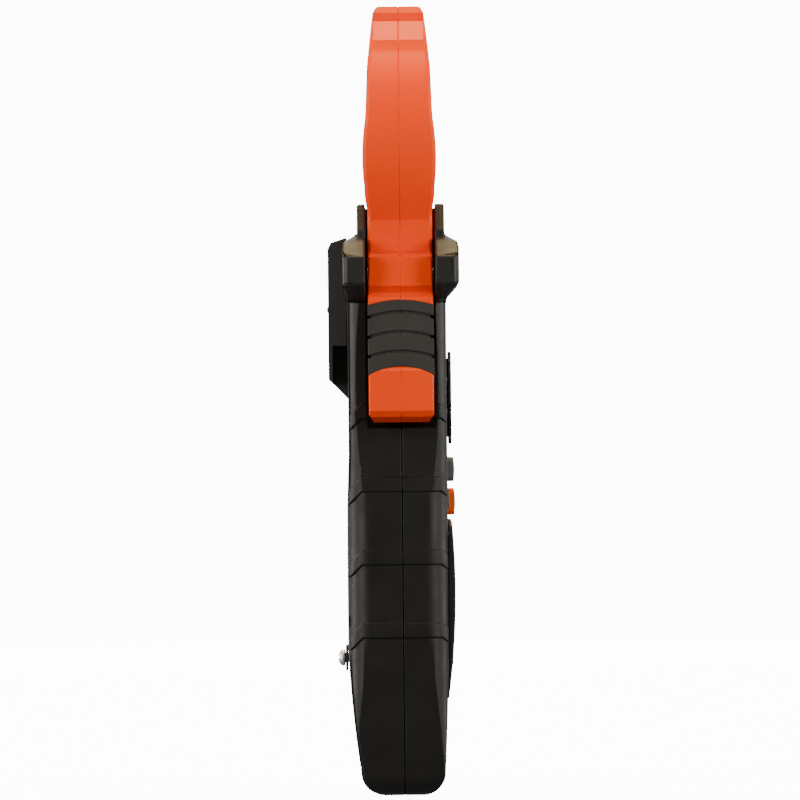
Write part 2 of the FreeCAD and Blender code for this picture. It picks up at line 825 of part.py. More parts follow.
def board():
    """Circuit board with the parts soldered to it."""
    outline_points = [
        (-25.5, 24.0),
        (25.5, 24.0),
        (25.5, 149.0),
        (-13.6, 149.0),
        (-13.6, 111.6),
        (-25.5, 111.6),
    ]
    sheet = plate(outline_points, board_front, board_back)
    for x, z in screw_places:
        sheet = sheet.cut(rod(post_radius + 0.4, -20, 20, x, z))
    written("circuit_board", sheet)
    chips = [
        box(-6.0, 6.0, board_back, board_back + 1.6, 62.0, 74.0),
        box(10.0, 18.0, board_back, board_back + 1.4, 88.0, 93.0),
        box(-18.0, -11.0, board_back, board_back + 1.4, 84.0, 89.0),
        box(4.0, 12.0, board_back, board_back + 3.2, 98.0, 101.0),
        box(-12.0, -4.0, board_back, board_back + 1.2, 100.0, 104.0),
        box(14.0, 19.0, board_back, board_back + 2.2, 50.0, 58.0),
    ]
    chips.append(post(2.5, 52.0, 60.0, -12.0, board_back + 2.6))
    written("board_components", Part.makeCompound(chips))
    written("sounder", rod(5.5, board_back, board_back + 3.0, 15.0, 132.0))
    leads = []
    for offset in (0.0, 1.8, 3.6):
        down = post(0.5, 118.0, 151.9, 8.0 + offset, -1.0)
        across = Part.makeCylinder(0.5, abs(board_back + 1.0), V(8.0 + offset, board_back, 118.0), V(0, 1, 0))
        leads.append(down.fuse(across))
    written("jaw_leads", Part.makeCompound(leads))


# ---------------------------------------------------------------- base sockets

def sockets():
    """Shrouded 4 mm input sockets in one moulded block."""
    block = []
    sleeves = []
    for x in (-jack_x, jack_x):
        barrel = post(shroud_radius, 0.4, 19.0, x, jack_y)
        barrel = barrel.cut(post(shroud_bore, -1.0, 13.0, x, jack_y))
        barrel = barrel.cut(post(jack_sleeve, -1.0, 20.0, x, jack_y))
        block.append(barrel)
        sleeves.append(post(jack_sleeve, 2.0, 22.0, x, jack_y).cut(post(jack_bore, 1.0, 20.0, x, jack_y)))
    web = box(-jack_x, jack_x, jack_y - 0.8, jack_y + 0.8, 14.0, 18.0)
    for x in (-jack_x, jack_x):
        web = web.cut(post(shroud_radius - 0.3, 10.0, 20.0, x, jack_y))
    written("socket_block", block[0].fuse(web).fuse(block[1]))
    written("common_socket", sleeves[0])
    written("volt_socket", sleeves[1])


# ---------------------------------------------------------------- battery bay

def battery():
    """Tray, cells and contacts."""
    top_cell = cell_first_z + 2 * cell_pitch
    tray_top = top_cell + cell_radius + 0.15
    tray = box(-24.9, 24.9, 1.1, 8.6, 7.3, tray_top)
    tray = tray.cut(box(-23.9, 23.9, cell_y, 30.0, cell_first_z - cell_radius, tray_top - 0.1))
    cells = []
    for step in range(3):
        z = cell_first_z + cell_pitch * step
        tray = tray.cut(bar(cell_radius + 0.1, -23.9, 23.9, cell_y, z))
        sign = 1 if step % 2 == 0 else -1
        can = bar(cell_radius, -cell_length / 2 + 0.5, cell_length / 2 - 0.5, cell_y, z)
        nub = bar(1.8, 0, 0.9, cell_y, z)
        nub.translate(V(cell_length / 2 - 0.5 if sign > 0 else -cell_length / 2 - 0.4, 0, 0))
        cells.append(can.fuse(nub))
    for step, name in enumerate(("lower_cell", "middle_cell", "upper_cell")):
        written(name, cells[step])
    written("battery_tray", tray)
    springs = []
    plates = []
    for step in range(3):
        z = cell_first_z + cell_pitch * step
        spring_side = -1 if step % 2 == 0 else 1
        base = box(-0.15, 0.15, cell_y - 3.4, cell_y + 3.4, z - 3.4, z + 3.4)
        base.translate(V(spring_side * 23.7, 0, 0))
        spring = Part.makeCone(3.0, 1.9, 1.7, V(spring_side * 23.55, cell_y, z), V(-spring_side, 0, 0))
        hollow = Part.makeCone(2.5, 1.4, 1.7, V(spring_side * 23.55, cell_y, z), V(-spring_side, 0, 0))
        springs.append(base.fuse(spring.cut(hollow)))
        flat = box(-0.15, 0.15, cell_y - 3.4, cell_y + 3.4, z - 3.4, z + 3.4)
        dimple = Part.makeCone(1.9, 1.2, 0.8, V(-spring_side * 23.55, cell_y, z), V(spring_side, 0, 0))
        flat.translate(V(-spring_side * 23.7, 0, 0))
        plates.append(flat.fuse(dimple))
    written("battery_springs", Part.makeCompound(springs))
    written("battery_contact_plates", Part.makeCompound(plates))


def battery_cover():
    """Curved cover let into the back, its gasket and its captive screw."""
    outer = panel()
    inner = body_shape(panel_margin, 1.8, 1.8, 1.2, 1.8)
    gap = cover_gap
    window = box(-bay_half_width + gap, bay_half_width - gap, 6.0, 30.0, bay_bottom + gap, bay_top - gap)
    cover = outer.cut(inner).common(window)
    boss = rod(4.6, 13.3, 16.9, 0, cover_screw_z).common(outer)
    cover = cover.fuse(boss).cut(rod(1.7, 0, 40, 0, cover_screw_z))
    written("battery_cover", cover.removeSplitter())
    insert = rod(2.3, 7.0, 13.0, 0, cover_screw_z).cut(rod(1.55, 6.0, 20.0, 0, cover_screw_z))
    written("threaded_insert", insert)
    washer_seat = 17.65
    washer = rod(4.1, washer_seat, washer_seat + 0.8, 0, cover_screw_z)
    washer = washer.cut(rod(1.55, 0, 40, 0, cover_screw_z))
    written("retaining_washer", washer)
    head_seat = washer_seat + 0.95
    shank = rod(1.5, 8.6, head_seat, 0, cover_screw_z)
    head = rod(2.6, head_seat, head_seat + 2.3, 0, cover_screw_z)
    crown = Part.makeSphere(3.6, V(0, head_seat + 2.3 - 3.6, cover_screw_z))
    head = head.common(crown)
    slot_a = box(-1.6, 1.6, head_seat + 1.1, head_seat + 4, cover_screw_z - 0.3, cover_screw_z + 0.3)
    slot_b = box(-0.3, 0.3, head_seat + 1.1, head_seat + 4, cover_screw_z - 1.6, cover_screw_z + 1.6)
    written("cover_screw", shank.fuse(head).cut(slot_a.fuse(slot_b)))


def housing_screws():
    screws = []
    for x, z in screw_places:
        screws.append(screw(x, z, screw_seat, 1.3, 2.7, 2.0, 15.5))
    written("housing_screws", Part.makeCompound(screws))


os.makedirs("parts", exist_ok=True)
moving_jaw()
trigger_grip()
jaw_screws()
fixed_jaw()
pivot()
housing()
rubber()
probe_holder()
holder_screws()
dial()
button_row()
display()
board()
sockets()
battery()
battery_cover()
housing_screws()
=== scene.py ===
import json
import math

import bmesh
import bpy
from mathutils import Matrix, Quaternion, Vector
from mathutils.bvhtree import BVHTree


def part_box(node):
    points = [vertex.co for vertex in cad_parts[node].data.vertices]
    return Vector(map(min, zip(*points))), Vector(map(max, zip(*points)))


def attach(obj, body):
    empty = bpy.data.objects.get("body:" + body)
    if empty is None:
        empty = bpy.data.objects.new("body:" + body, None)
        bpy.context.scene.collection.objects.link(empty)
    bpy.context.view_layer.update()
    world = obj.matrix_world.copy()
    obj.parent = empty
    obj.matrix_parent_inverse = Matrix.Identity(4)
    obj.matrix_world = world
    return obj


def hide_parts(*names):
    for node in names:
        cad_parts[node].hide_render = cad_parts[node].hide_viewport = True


# Clamp meter, in metres. The frame's pieces are finished here: moulded edges are rounded, and every
# surface gets its material. +Z runs along the meter, the display faces -Y, the trigger is at -X.
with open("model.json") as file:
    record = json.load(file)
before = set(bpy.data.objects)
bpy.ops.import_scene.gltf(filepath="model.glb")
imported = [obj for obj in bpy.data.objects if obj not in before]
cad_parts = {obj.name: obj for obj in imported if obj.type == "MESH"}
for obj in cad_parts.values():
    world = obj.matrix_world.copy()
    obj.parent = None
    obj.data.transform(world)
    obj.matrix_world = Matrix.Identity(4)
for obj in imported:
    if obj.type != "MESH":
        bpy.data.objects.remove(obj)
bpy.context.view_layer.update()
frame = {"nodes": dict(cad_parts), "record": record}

MM = 0.001
parting_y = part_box("front_housing")[1].y
base_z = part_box("front_housing")[0].z
# Edges that turn by more than these angles are rounded, or left sharp in the smooth shading.
ROUNDED_EDGE = math.radians(26.0)
SHARP_EDGE = math.radians(27.0)


# ---------------------------------------------------------------- mesh helpers

def depth_from_parting(point):
    """Distance of a point from the plane where the mouldings meet."""
    return abs(point.y - parting_y)


def joined_mesh(node):
    """bmesh copy of a CAD node, welded, with its flat faces triangulated afresh."""
    same_point = 0.004 * MM
    no_length = 0.003 * MM
    flat = math.radians(0.6)
    bm = bmesh.new()
    bm.from_mesh(frame["nodes"][node].data)
    bmesh.ops.remove_doubles(bm, verts=bm.verts, dist=same_point)
    bmesh.ops.dissolve_degenerate(bm, dist=no_length, edges=bm.edges)
    bmesh.ops.dissolve_limit(bm, angle_limit=flat, verts=bm.verts, edges=bm.edges)
    bm.normal_update()
    bmesh.ops.triangulate(bm, faces=bm.faces[:], quad_method="BEAUTY", ngon_method="BEAUTY")
    return bm


def object_from(bm, name, material):
    """New object with a material, from a bmesh whose faces keep their own shading."""
    mesh = bpy.data.meshes.new(name)
    bm.to_mesh(mesh)
    bm.free()
    piece = bpy.data.objects.new(name, mesh)
    bpy.context.scene.collection.objects.link(piece)
    mesh.materials.append(material)
    return piece


def evaluated_mesh(piece):
    """New mesh of an object with its modifiers applied."""
    bpy.context.view_layer.update()
    return bpy.data.meshes.new_from_object(piece.evaluated_get(bpy.context.evaluated_depsgraph_get()))


def even_shading(piece):
    """Shade by the larger faces, up to the edges marked sharp."""
    shading = piece.modifiers.new("even shading", "WEIGHTED_NORMAL")
    shading.keep_sharp = True


def stand_in(piece, node):
    """Let a piece stand in for a CAD node on its body, and hide the node."""
    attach(piece, body_of_node[node])
    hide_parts(node)


def rounded(node, material, width, share=None):
    """Replace a CAD node by a copy with rounded edges. share(point) scales the rounding.

    Where the rounding has no room, its points are put back on the CAD surface, and all of them
    stay inside the node's box.
    """
    bm = joined_mesh(node)
    weight = bm.edges.layers.float.new("bevel_weight_edge")
    for face in bm.faces:
        face.smooth = True
    for edge in bm.edges:
        if edge.calc_face_angle(0.0) < ROUNDED_EDGE:
            continue
        middle = (edge.verts[0].co + edge.verts[1].co) / 2
        edge[weight] = share(middle) if share else 1.0
        edge.smooth = edge[weight] > 0.0
    surface = BVHTree.FromBMesh(bm)
    piece = object_from(bm, node + "_moulded", material)
    bevel = piece.modifiers.new("edge rounding", "BEVEL")
    bevel.limit_method = "WEIGHT"
    bevel.width = width
    bevel.segments = 3
    bevel.use_clamp_overlap = False
    piece.data = evaluated_mesh(piece)
    piece.modifiers.clear()
    low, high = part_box(node)
    for vert in piece.data.vertices:
        place, _, _, away = surface.find_nearest(vert.co)
        if away > width / 2:
            vert.co = place
        vert.co = [min(max(value, least), most) for value, least, most in zip(vert.co, low, high)]
    even_shading(piece)
    stand_in(piece, node)


# ---------------------------------------------------------------- materials

def new_material(name, roughness):
    """Material, its node tree and its principled shader."""
    material = bpy.data.materials.new(name)
    material.use_nodes = True
    tree = material.node_tree
    shader = tree.nodes["Principled BSDF"]
    shader.inputs["Roughness"].default_value = roughness
    return material, tree, shader


def noise(tree, feature, detail=3.0):
    """Noise whose features are about the given size, fixed to the piece."""
    place = tree.nodes.new("ShaderNodeTexCoord")
    texture = tree.nodes.new("ShaderNodeTexNoise")
    texture.inputs["Scale"].default_value = 1.0 / feature
    texture.inputs["Detail"].default_value = detail
    texture.inputs["Roughness"].default_value = 0.55
    tree.links.new(place.outputs["Object"], texture.inputs["Vector"])
    return texture.outputs["Fac"]


def mapped(tree, value, low, high, to_low, to_high):
    """Value moved from one range to another, clamped."""
    node = tree.nodes.new("ShaderNodeMapRange")
    node.inputs["From Min"].default_value = low
    node.inputs["From Max"].default_value = high
    node.inputs["To Min"].default_value = to_low
    node.inputs["To Max"].default_value = to_high
    tree.links.new(value, node.inputs["Value"])
    return node.outputs["Result"]


def blended(tree, factor, first, second):
    """Colour between two colours or colour sockets."""
    node = tree.nodes.new("ShaderNodeMix")
    node.data_type = "RGBA"
    tree.links.new(factor, node.inputs["Factor"])
    for socket, colour in ((node.inputs[6], first), (node.inputs[7], second)):
        if isinstance(colour, bpy.types.NodeSocket):
            tree.links.new(colour, socket)
        else:
            socket.default_value = (*colour, 1.0)
    return node.outputs[2]


def bumped(tree, shader, height, depth, edge_radius=0.0):
    """Fine relief of a depth, over edges that are shaded as if rounded by a radius."""
    bump = tree.nodes.new("ShaderNodeBump")
    bump.inputs["Distance"].default_value = depth
    bump.inputs["Strength"].default_value = 1.0
    tree.links.new(height, bump.inputs["Height"])
    if edge_radius:
        softened = tree.nodes.new("ShaderNodeBevel")
        softened.samples = 6
        softened.inputs["Radius"].default_value = edge_radius
        tree.links.new(softened.outputs["Normal"], bump.inputs["Normal"])
    tree.links.new(bump.outputs["Normal"], shader.inputs["Normal"])


def moulded(name, dark, light, rough, grain, depth, sheen=(1.0, 0.92, 0.82), shine=0.27):
    """Moulded plastic or rubber: broad tone variation, fine grain, tinted reflections.

    dark, light and sheen are colours, rough is a range, grain and depth are those of the relief.
    """
    tone_patch = 24.0 * MM
    gloss_patch = 9.0 * MM
    edge_radius = 0.35 * MM
    material, tree, shader = new_material(name, rough[0])
    shader.inputs["Specular Tint"].default_value = (*sheen, 1.0)
    shader.inputs["Specular IOR Level"].default_value = shine
    tone = mapped(tree, noise(tree, tone_patch), 0.35, 0.65, 0.0, 1.0)
    body = blended(tree, tone, dark, light)
    tree.links.new(body, shader.inputs["Base Color"])
    gloss = mapped(tree, noise(tree, gloss_patch, 5.0), 0.35, 0.65, rough[0], rough[1])
    tree.links.new(gloss, shader.inputs["Roughness"])
    bumped(tree, shader, noise(tree, grain, 2.0), depth, edge_radius)
    return material


def metal(name, colour, rough, grain):
    """Metal with small patches of tone and gloss."""
    patch_tone = 0.75
    relief = 0.01 * MM
    material, tree, shader = new_material(name, rough[0])
    shader.inputs["Metallic"].default_value = 1.0
    tone = noise(tree, grain, 4.0)
    shade = blended(tree, tone, [value * patch_tone for value in colour], colour)
    tree.links.new(shade, shader.inputs["Base Color"])
    tree.links.new(mapped(tree, tone, 0.3, 0.7, rough[0], rough[1]), shader.inputs["Roughness"])
    bumped(tree, shader, noise(tree, grain / 3, 2.0), relief)
    return material


def clear_window(name):
    """Clear plastic with faint surface haze."""
    material, tree, shader = new_material(name, 0.01)
    shader.inputs["Transmission Weight"].default_value = 1.0
    shader.inputs["IOR"].default_value = 1.49
    haze = mapped(tree, noise(tree, 6.0 * MM, 5.0), 0.4, 0.7, 0.0, 0.02)
    tree.links.new(haze, shader.inputs["Roughness"])
    tint = blended(tree, noise(tree, 10.0 * MM), (0.93, 0.95, 0.94), (0.97, 0.98, 0.98))
    tree.links.new(tint, shader.inputs["Base Color"])
    return material


finish = {
    "jaw_plastic": moulded("orange_moulding", (0.92, 0.048, 0.0003), (0.95, 0.054, 0.0005),
        (0.28, 0.34), 0.45 * MM, 0.008 * MM, sheen=(1.0, 0.35, 0.0), shine=0.14),
    "overmould_rubber": moulded("black_rubber", (0.0055, 0.0050, 0.0044), (0.0075, 0.0068, 0.0060),
        (0.46, 0.56), 0.40 * MM, 0.030 * MM),
    "hard_plastic": moulded("black_plastic", (0.0150, 0.0138, 0.0124), (0.0190, 0.0175, 0.0158),
        (0.36, 0.46), 0.35 * MM, 0.022 * MM),
    "holder_plastic": moulded("holder_plastic", (0.030, 0.028, 0.025), (0.036, 0.033, 0.030),
        (0.42, 0.52), 0.35 * MM, 0.022 * MM),
    "grip_rubber": moulded("grip_rubber", (0.024, 0.0215, 0.019), (0.030, 0.027, 0.024),
        (0.60, 0.70), 0.35 * MM, 0.030 * MM),
    "dial_plastic": moulded("dial_plastic", (0.013, 0.0125, 0.012), (0.017, 0.016, 0.015),
        (0.40, 0.50), 0.30 * MM, 0.020 * MM),
    "grey_button": moulded("grey_rubber", (0.085, 0.086, 0.076), (0.10, 0.10, 0.09),
        (0.55, 0.65), 0.30 * MM, 0.020 * MM),
    "orange_button": moulded("orange_rubber", (0.80, 0.085, 0.006), (0.86, 0.095, 0.008),
        (0.52, 0.62), 0.30 * MM, 0.018 * MM, sheen=(1.0, 0.4, 0.1)),
    "washer": moulded("dark_fibre", (0.018, 0.017, 0.016), (0.028, 0.026, 0.024),
        (0.70, 0.85), 0.25 * MM, 0.030 * MM),
    "socket_plastic": moulded("socket_plastic", (0.014, 0.013, 0.013), (0.020, 0.019, 0.018),
        (0.40, 0.50), 0.30 * MM, 0.015 * MM),
    "inner_plastic": moulded("inner_plastic", (0.06, 0.06, 0.058), (0.08, 0.08, 0.078),
        (0.45, 0.55), 0.40 * MM, 0.015 * MM),
    "black_resin": moulded("black_resin", (0.015, 0.015, 0.015), (0.022, 0.022, 0.022),
        (0.42, 0.55), 0.25 * MM, 0.010 * MM),
    "lead_insulation": moulded("lead_insulation", (0.40, 0.03, 0.02), (0.46, 0.04, 0.025),
        (0.35, 0.45), 0.40 * MM, 0.010 * MM),
    "connector_rubber": moulded("connector_rubber", (0.45, 0.16, 0.20), (0.52, 0.20, 0.24),
        (0.5, 0.6), 0.25 * MM, 0.010 * MM),
    "light_guide": moulded("light_guide", (0.74, 0.76, 0.77), (0.80, 0.82, 0.83),
        (0.25, 0.35), 0.60 * MM, 0.010 * MM),
    "display": moulded("display_film", (0.30, 0.33, 0.27), (0.33, 0.36, 0.295),
        (0.22, 0.30), 0.20 * MM, 0.004 * MM),
    "board": moulded("solder_mask", (0.010, 0.085, 0.035), (0.014, 0.11, 0.045),
        (0.25, 0.40), 0.50 * MM, 0.015 * MM),
    "cell_wrap": moulded("cell_wrap", (0.05, 0.05, 0.055), (0.07, 0.07, 0.075),
        (0.22, 0.32), 0.80 * MM, 0.010 * MM),
    "window": clear_window("clear_window"),
    "core_steel": metal("laminated_steel", (0.32, 0.32, 0.33), (0.35, 0.5), 0.4 * MM),
    "winding": metal("enamelled_wire", (0.55, 0.22, 0.08), (0.25, 0.4), 0.3 * MM),
    "steel": metal("bright_steel", (0.92, 0.91, 0.88), (0.40, 0.52), 0.8 * MM),
    "screw_steel": metal("blackened_steel", (0.10, 0.10, 0.10), (0.32, 0.45), 0.6 * MM),
    "brass": metal("turned_brass", (0.72, 0.50, 0.20), (0.20, 0.35), 0.7 * MM),
    "contact_plate": metal("nickel_plate", (0.60, 0.59, 0.56), (0.18, 0.30), 1.0 * MM),
}
slot_of = {part["node"]: part["material_slot"] for part in frame["record"]["subparts"]}
bodies = frame["record"]["behaviour"]["bodies"]
body_of_node = {node: body for body, nodes in bodies.items() for node in nodes}


def dress_cad_nodes():
    """Every CAD node gets its slot's material, those that stay hidden inside as well."""
    for name, node in frame["nodes"].items():
        node.data.materials.clear()
        node.data.materials.append(finish[slot_of[name]])


# ---------------------------------------------------------------- solids drawn here

def circle_through(a, b, c):
    """Centre of the circle through three (x, z) points."""
    a2 = a[0] ** 2 + a[1] ** 2
    b2 = b[0] ** 2 + b[1] ** 2
    c2 = c[0] ** 2 + c[1] ** 2
    area = 2 * (a[0] * (b[1] - c[1]) + b[0] * (c[1] - a[1]) + c[0] * (a[1] - b[1]))
    x = (a2 * (b[1] - c[1]) + b2 * (c[1] - a[1]) + c2 * (a[1] - b[1])) / area
    z = (a2 * (c[0] - b[0]) + b2 * (a[0] - c[0]) + c2 * (b[0] - a[0])) / area
    return x, z


def arc_points(start, middle, end, step=math.radians(3.0)):
    """Points after start along the arc that runs through middle to end."""
    x, z = circle_through(start, middle, end)
    radius = math.hypot(start[0] - x, start[1] - z)
    first = math.atan2(start[1] - z, start[0] - x)
    full = 2 * math.pi
    onward = (math.atan2(middle[1] - z, middle[0] - x) - first) % full
    sweep = (math.atan2(end[1] - z, end[0] - x) - first) % full
    if onward > sweep:
        sweep -= full
    count = max(2, math.ceil(abs(sweep) / step))
    turns = [first + sweep * k / count for k in range(1, count + 1)]
    return [(x + radius * math.cos(turn), z + radius * math.sin(turn)) for turn in turns]


def traced(stretches):
    """Closed outline as points and the rounding of the stretch that leads to each point."""
    points = [stretches[0][0]]
    rounding = [stretches[0][1]]
    for stretch in stretches[1:]:
        reached = arc_points(points[-1], stretch[1], stretch[2]) if stretch[0] == "arc" else [stretch[0]]
        points += reached
        rounding += [stretch[-1]] * len(reached)
    return points, rounding


def inset_directions(points, rounding):
    """For each outline point, how far its copy moves when the edges are fully rounded."""
    count = len(points)
    area = sum(points[k - 1][0] * points[k][1] - points[k][0] * points[k - 1][1] for k in range(count))
    side = 1.0 if area > 0 else -1.0
    nearly_straight = 0.3
    normals = []
    for k in range(count):
        along = Vector(points[k]) - Vector(points[k - 1])
        along.normalize()
        normals.append(Vector((-along.y * side, along.x * side)))
    moves = []
    for k in range(count):
        after = (k + 1) % count
        first, second = normals[k], normals[after]
        near, far = rounding[k], rounding[after]
        turn = first.x * second.y - first.y * second.x
        if abs(turn) < nearly_straight:
            middle = (first + second).normalized()
            moves.append(middle * (near + far) / 2)
        else:
            across = (near * second.y - far * first.y) / turn
            along = (far * first.x - near * second.x) / turn
            moves.append(Vector((across, along)))
    return moves


def closed_mesh(rings):
    """Mesh through rings of equal length, closed by a flat face at each end."""
    bm = bmesh.new()
    rows = [[bm.verts.new(corner) for corner in ring] for ring in rings]
    count = len(rows[0])
    for lower, upper in zip(rows, rows[1:]):
        for k in range(count):
            bm.faces.new((lower[k - 1], lower[k], upper[k], upper[k - 1]))
    bm.faces.new(rows[0])
    bm.faces.new(reversed(rows[-1]))
    bm.normal_update()
    bmesh.ops.triangulate(bm, faces=[face for face in bm.faces if len(face.verts) > 4])
    bmesh.ops.recalc_face_normals(bm, faces=bm.faces)
    return bm


def prism(points, near, far):
    """Temporary solid: an (x, z) outline in millimetres drawn out along Y from the parting plane."""
    rings = [[(x, y, z) for x, z in points] for y in (near, far)]
    return object_from(closed_mesh(rings), "tool", finish["jaw_plastic"])


def round_prism(radius, near, far, x, z):
    """Temporary cylinder along Y, about a point given as x and z."""
    sides = 40
    turns = [2 * math.pi * k / sides for k in range(sides)]
    return prism([(x + radius * math.cos(turn), z + radius * math.sin(turn)) for turn in turns], near, far)


def core_pocket(start, end):
    """Room for a ring core and its coil, between two angles in degrees about the ring centre."""
    inner = 24.2
    outer = 32.1
    half_depth = 7.1
    steps = 60
    turns = [math.radians(start + (end - start) * k / steps) for k in range(steps + 1)]
    points = [(outer * math.cos(turn), RING + outer * math.sin(turn)) for turn in turns]
    points += [(inner * math.cos(turn), RING + inner * math.sin(turn)) for turn in reversed(turns)]
    return prism(points, -half_depth, half_depth)


def carved(piece, operation, tools):
    """Cut, join or cross a piece with temporary solids, then drop them."""
    for tool in tools:
        step = piece.modifiers.new("carving", "BOOLEAN")
        step.operation = operation
        step.solver = "EXACT"
        step.object = tool
    result = evaluated_mesh(piece)
    piece.modifiers.clear()
    piece.data = result
    for tool in tools:
        bpy.data.objects.remove(tool)
    return piece


def shaded(piece):
    """Smooth shading that stops at real edges."""
    bm = bmesh.new()
    bm.from_mesh(piece.data)
    for face in bm.faces:
        face.smooth = True
    for edge in bm.edges:
        edge.smooth = edge.calc_face_angle(0.0) < SHARP_EDGE
    bm.to_mesh(piece.data)
    bm.free()
    even_shading(piece)


def into_frame(piece, name):
    """Name a piece drawn in millimetres and bring it into the frame."""
    piece.data.transform(Matrix.Translation((0.0, parting_y, 0.0)) @ Matrix.Scale(MM, 4))
    piece.name = name


def installed(piece, node):
    """Shade a drawn piece and let it stand in for a CAD node."""
    shaded(piece)
    into_frame(piece, node + "_finished")
    stand_in(piece, node)


# ---------------------------------------------------------------- jaws

# Millimetres from here on: x across the meter, y from the parting plane, z up from the base.
# Height of the ring centre, half the gap between the jaws' faces, half the parting groove.
RING = 202.5
SPLIT = 0.4
GROOVE = 0.26
# Radius of the opening, and its half height where the jaws meet.
OPENING = 22.0
OPENING_AT_SPLIT = 21.996
# Edges at least this wide are flat chamfers, the finer ones are round.
WIDE = 1.2
# Side profile of the jaws: height and half thickness.
THICKNESS = [(100.0, 10.2), (184.5, 10.2), (189.0, 11.0), (192.0, 11.1)]
THICKNESS += [(z, y) for y, z in arc_points((11.1, 192.0), (11.6, RING), (10.7, 213.0), math.radians(0.7))]
THICKNESS += [(216.0, 10.5), (230.0, 10.0), (244.9, 8.5), (247.9, 8.1), (250.0, 7.0)]
# Outline stretches: end point and the rounding of that stretch.
MOVING_JAW = [
    ((-SPLIT, 241.0), 0.2),
    ((-7.4, 243.3), 0.35),
    ((-8.2, 243.3), 0.2),
    ((-8.2, 245.2), 0.3),
    ((-10.6, 245.0), 0.7),
    ((-20.5, 238.6), 1.2),
    ((-22.2, 235.4), 1.2),
    ("arc", (-33.85, 220.75), (-38.0, RING), 1.2),
    ("arc", (-36.34, 191.5), (-31.5, 181.5), 1.2),
    ((-31.0, 171.4), 1.2),
    ((-37.4, 169.8), 0.9),
    ((-38.0, 160.6), 0.9),
    ((-36.0, 158.6), 0.5),
    ((-37.6, 156.6), 0.3),
    ((-41.2, 136.0), 0.3),
    ((-42.6, 134.0), 0.6),
    ((-42.6, 121.4), 1.6),
    ((-41.0, 119.5), 0.5),
    ((-36.0, 117.8), 0.4),
    ((-34.6, 119.0), 0.5),
    ((-31.0, 147.0), 0.4),
    ((-27.2, 157.28), 0.4),
    ("arc", (-18.5, 156.25), (-13.5, 164.0), 0.4),
    ((-8.0, 167.0), 0.3),
    ((-SPLIT, 168.0), 0.3),
    ((-SPLIT, RING - OPENING_AT_SPLIT), 0.2),
    ("arc", (-OPENING, RING), (-SPLIT, RING + OPENING_AT_SPLIT), 0.8),
]
FIXED_JAW = [
    ((SPLIT, 241.8), 0.2),
    ((-7.0, 244.2), 0.3),
    ((-7.0, 247.8), 0.6),
    ((-5.0, 250.0), 0.8),
    ((4.0, 250.0), 1.0),
    ("arc", (29.0, 234.0), (38.0, RING), 1.2),
    ("arc", (36.34, 191.5), (31.5, 181.5), 1.2),
    ((30.5, 160.0), 1.0),
    ((26.0, 152.0), 0.6),
    ((5.0, 152.0), 0.4),
    ((SPLIT, 166.0), 0.4),
    ((SPLIT, RING - OPENING_AT_SPLIT), 0.2),
    ("arc", (OPENING, RING), (SPLIT, RING + OPENING_AT_SPLIT), 0.8),
]
PIVOT = (-22.0, 164.0)
JAW_SCREWS = [(-14.5, 171.5), (-35.6, 128.0)]
GRIP_HALF_WIDTH = 10.35


def half_thickness(z):
    """Half thickness of the jaws at a height, in millimetres."""
    for (low, thin), (high, thick) in zip(THICKNESS, THICKNESS[1:]):
        if z <= high:
            return thin + (thick - thin) * (z - low) / (high - low)
    return THICKNESS[-1][1]


def jaw_half(stretches, side):
    """One moulding of a jaw, solid, with rounded outer edges. side is -1 in front, 1 behind."""
    points, rounding = traced(stretches)
    moves = inset_directions(points, rounding)
    cap_level = 100.0
    steps = 5
    rings = []
    for inset, depth in ((GROOVE, 0.0), (0.0, GROOVE)):
        ring = []
        for (x, z), move in zip(points, moves):
            size = move.length
            shift = move * (inset / size)
            ring.append((x + shift.x, depth, z + shift.y))
        rings.append(ring)
    for step in range(steps + 1):
        turn = math.pi / 2 * step / steps
        ring = []
        for k, ((x, z), move) in enumerate(zip(points, moves)):
            width = min(rounding[k], rounding[(k + 1) % len(points)])
            chamfered = width >= WIDE
            inward = step / steps if chamfered else 1 - math.cos(turn)
            below = 1 - step / steps if chamfered else 1 - math.sin(turn)
            ring.append((x + move.x * inward, cap_level - width * below, z + move.y * inward))
        rings.append(ring)
    bm = closed_mesh(rings)
    for height, _ in THICKNESS[1:-1]:
        everything = bm.verts[:] + bm.edges[:] + bm.faces[:]
        level = (0, 0, height)
        bmesh.ops.bisect_plane(bm, geom=everything, dist=0.0001, plane_co=level, plane_no=(0, 0, 1))
    for vert in bm.verts:
        x, depth, z = vert.co
        if depth > cap_level / 2:
            depth = half_thickness(z) + depth - cap_level
        vert.co = Vector((x, side * depth, z))
    if bm.calc_volume(signed=True) < 0:
        bmesh.ops.reverse_faces(bm, faces=bm.faces)
    return object_from(bm, "jaw", finish["jaw_plastic"])


def alignment_marks(x):
    """Sunk triangles at the ring centre, on both faces."""
    mark = [(x - 2.0, RING), (x + 1.2, RING - 1.4), (x + 1.2, RING + 1.4)]
    return [prism(mark, -13.0, -11.2), prism(mark, 11.2, 13.0)]


def side_prism(points, near, far):
    """Temporary solid: a (y, z) outline in millimetres drawn out along X."""
    rings = [[(x, y, z) for y, z in points] for x in (near, far)]
    return object_from(closed_mesh(rings), "tool", finish["jaw_plastic"])


def grip_outline():
    """The rubber grip as (y, z) points, arched at both ends."""
    y = GRIP_HALF_WIDTH
    top = 154.6
    top_of_arch = 156.3
    bottom = 132.5
    bottom_of_arch = 135.3
    points = [(-y, top)]
    points += arc_points((-y, top), (0.0, top_of_arch), (y, top))
    points += [(y, bottom)]
    points += arc_points((y, bottom), (0.0, bottom_of_arch), (-y, bottom))
    return points


def grip_seat():
    """Room for the rubber grip, which wraps the outside of the lever."""
    lever_core = prism([(-38.0, 158.5), (-41.0, 130.0), (-20.0, 130.0), (-20.0, 158.5)], -8.3, 8.3)
    return carved(side_prism(grip_outline(), -46.0, -33.4), "DIFFERENCE", [lever_core])


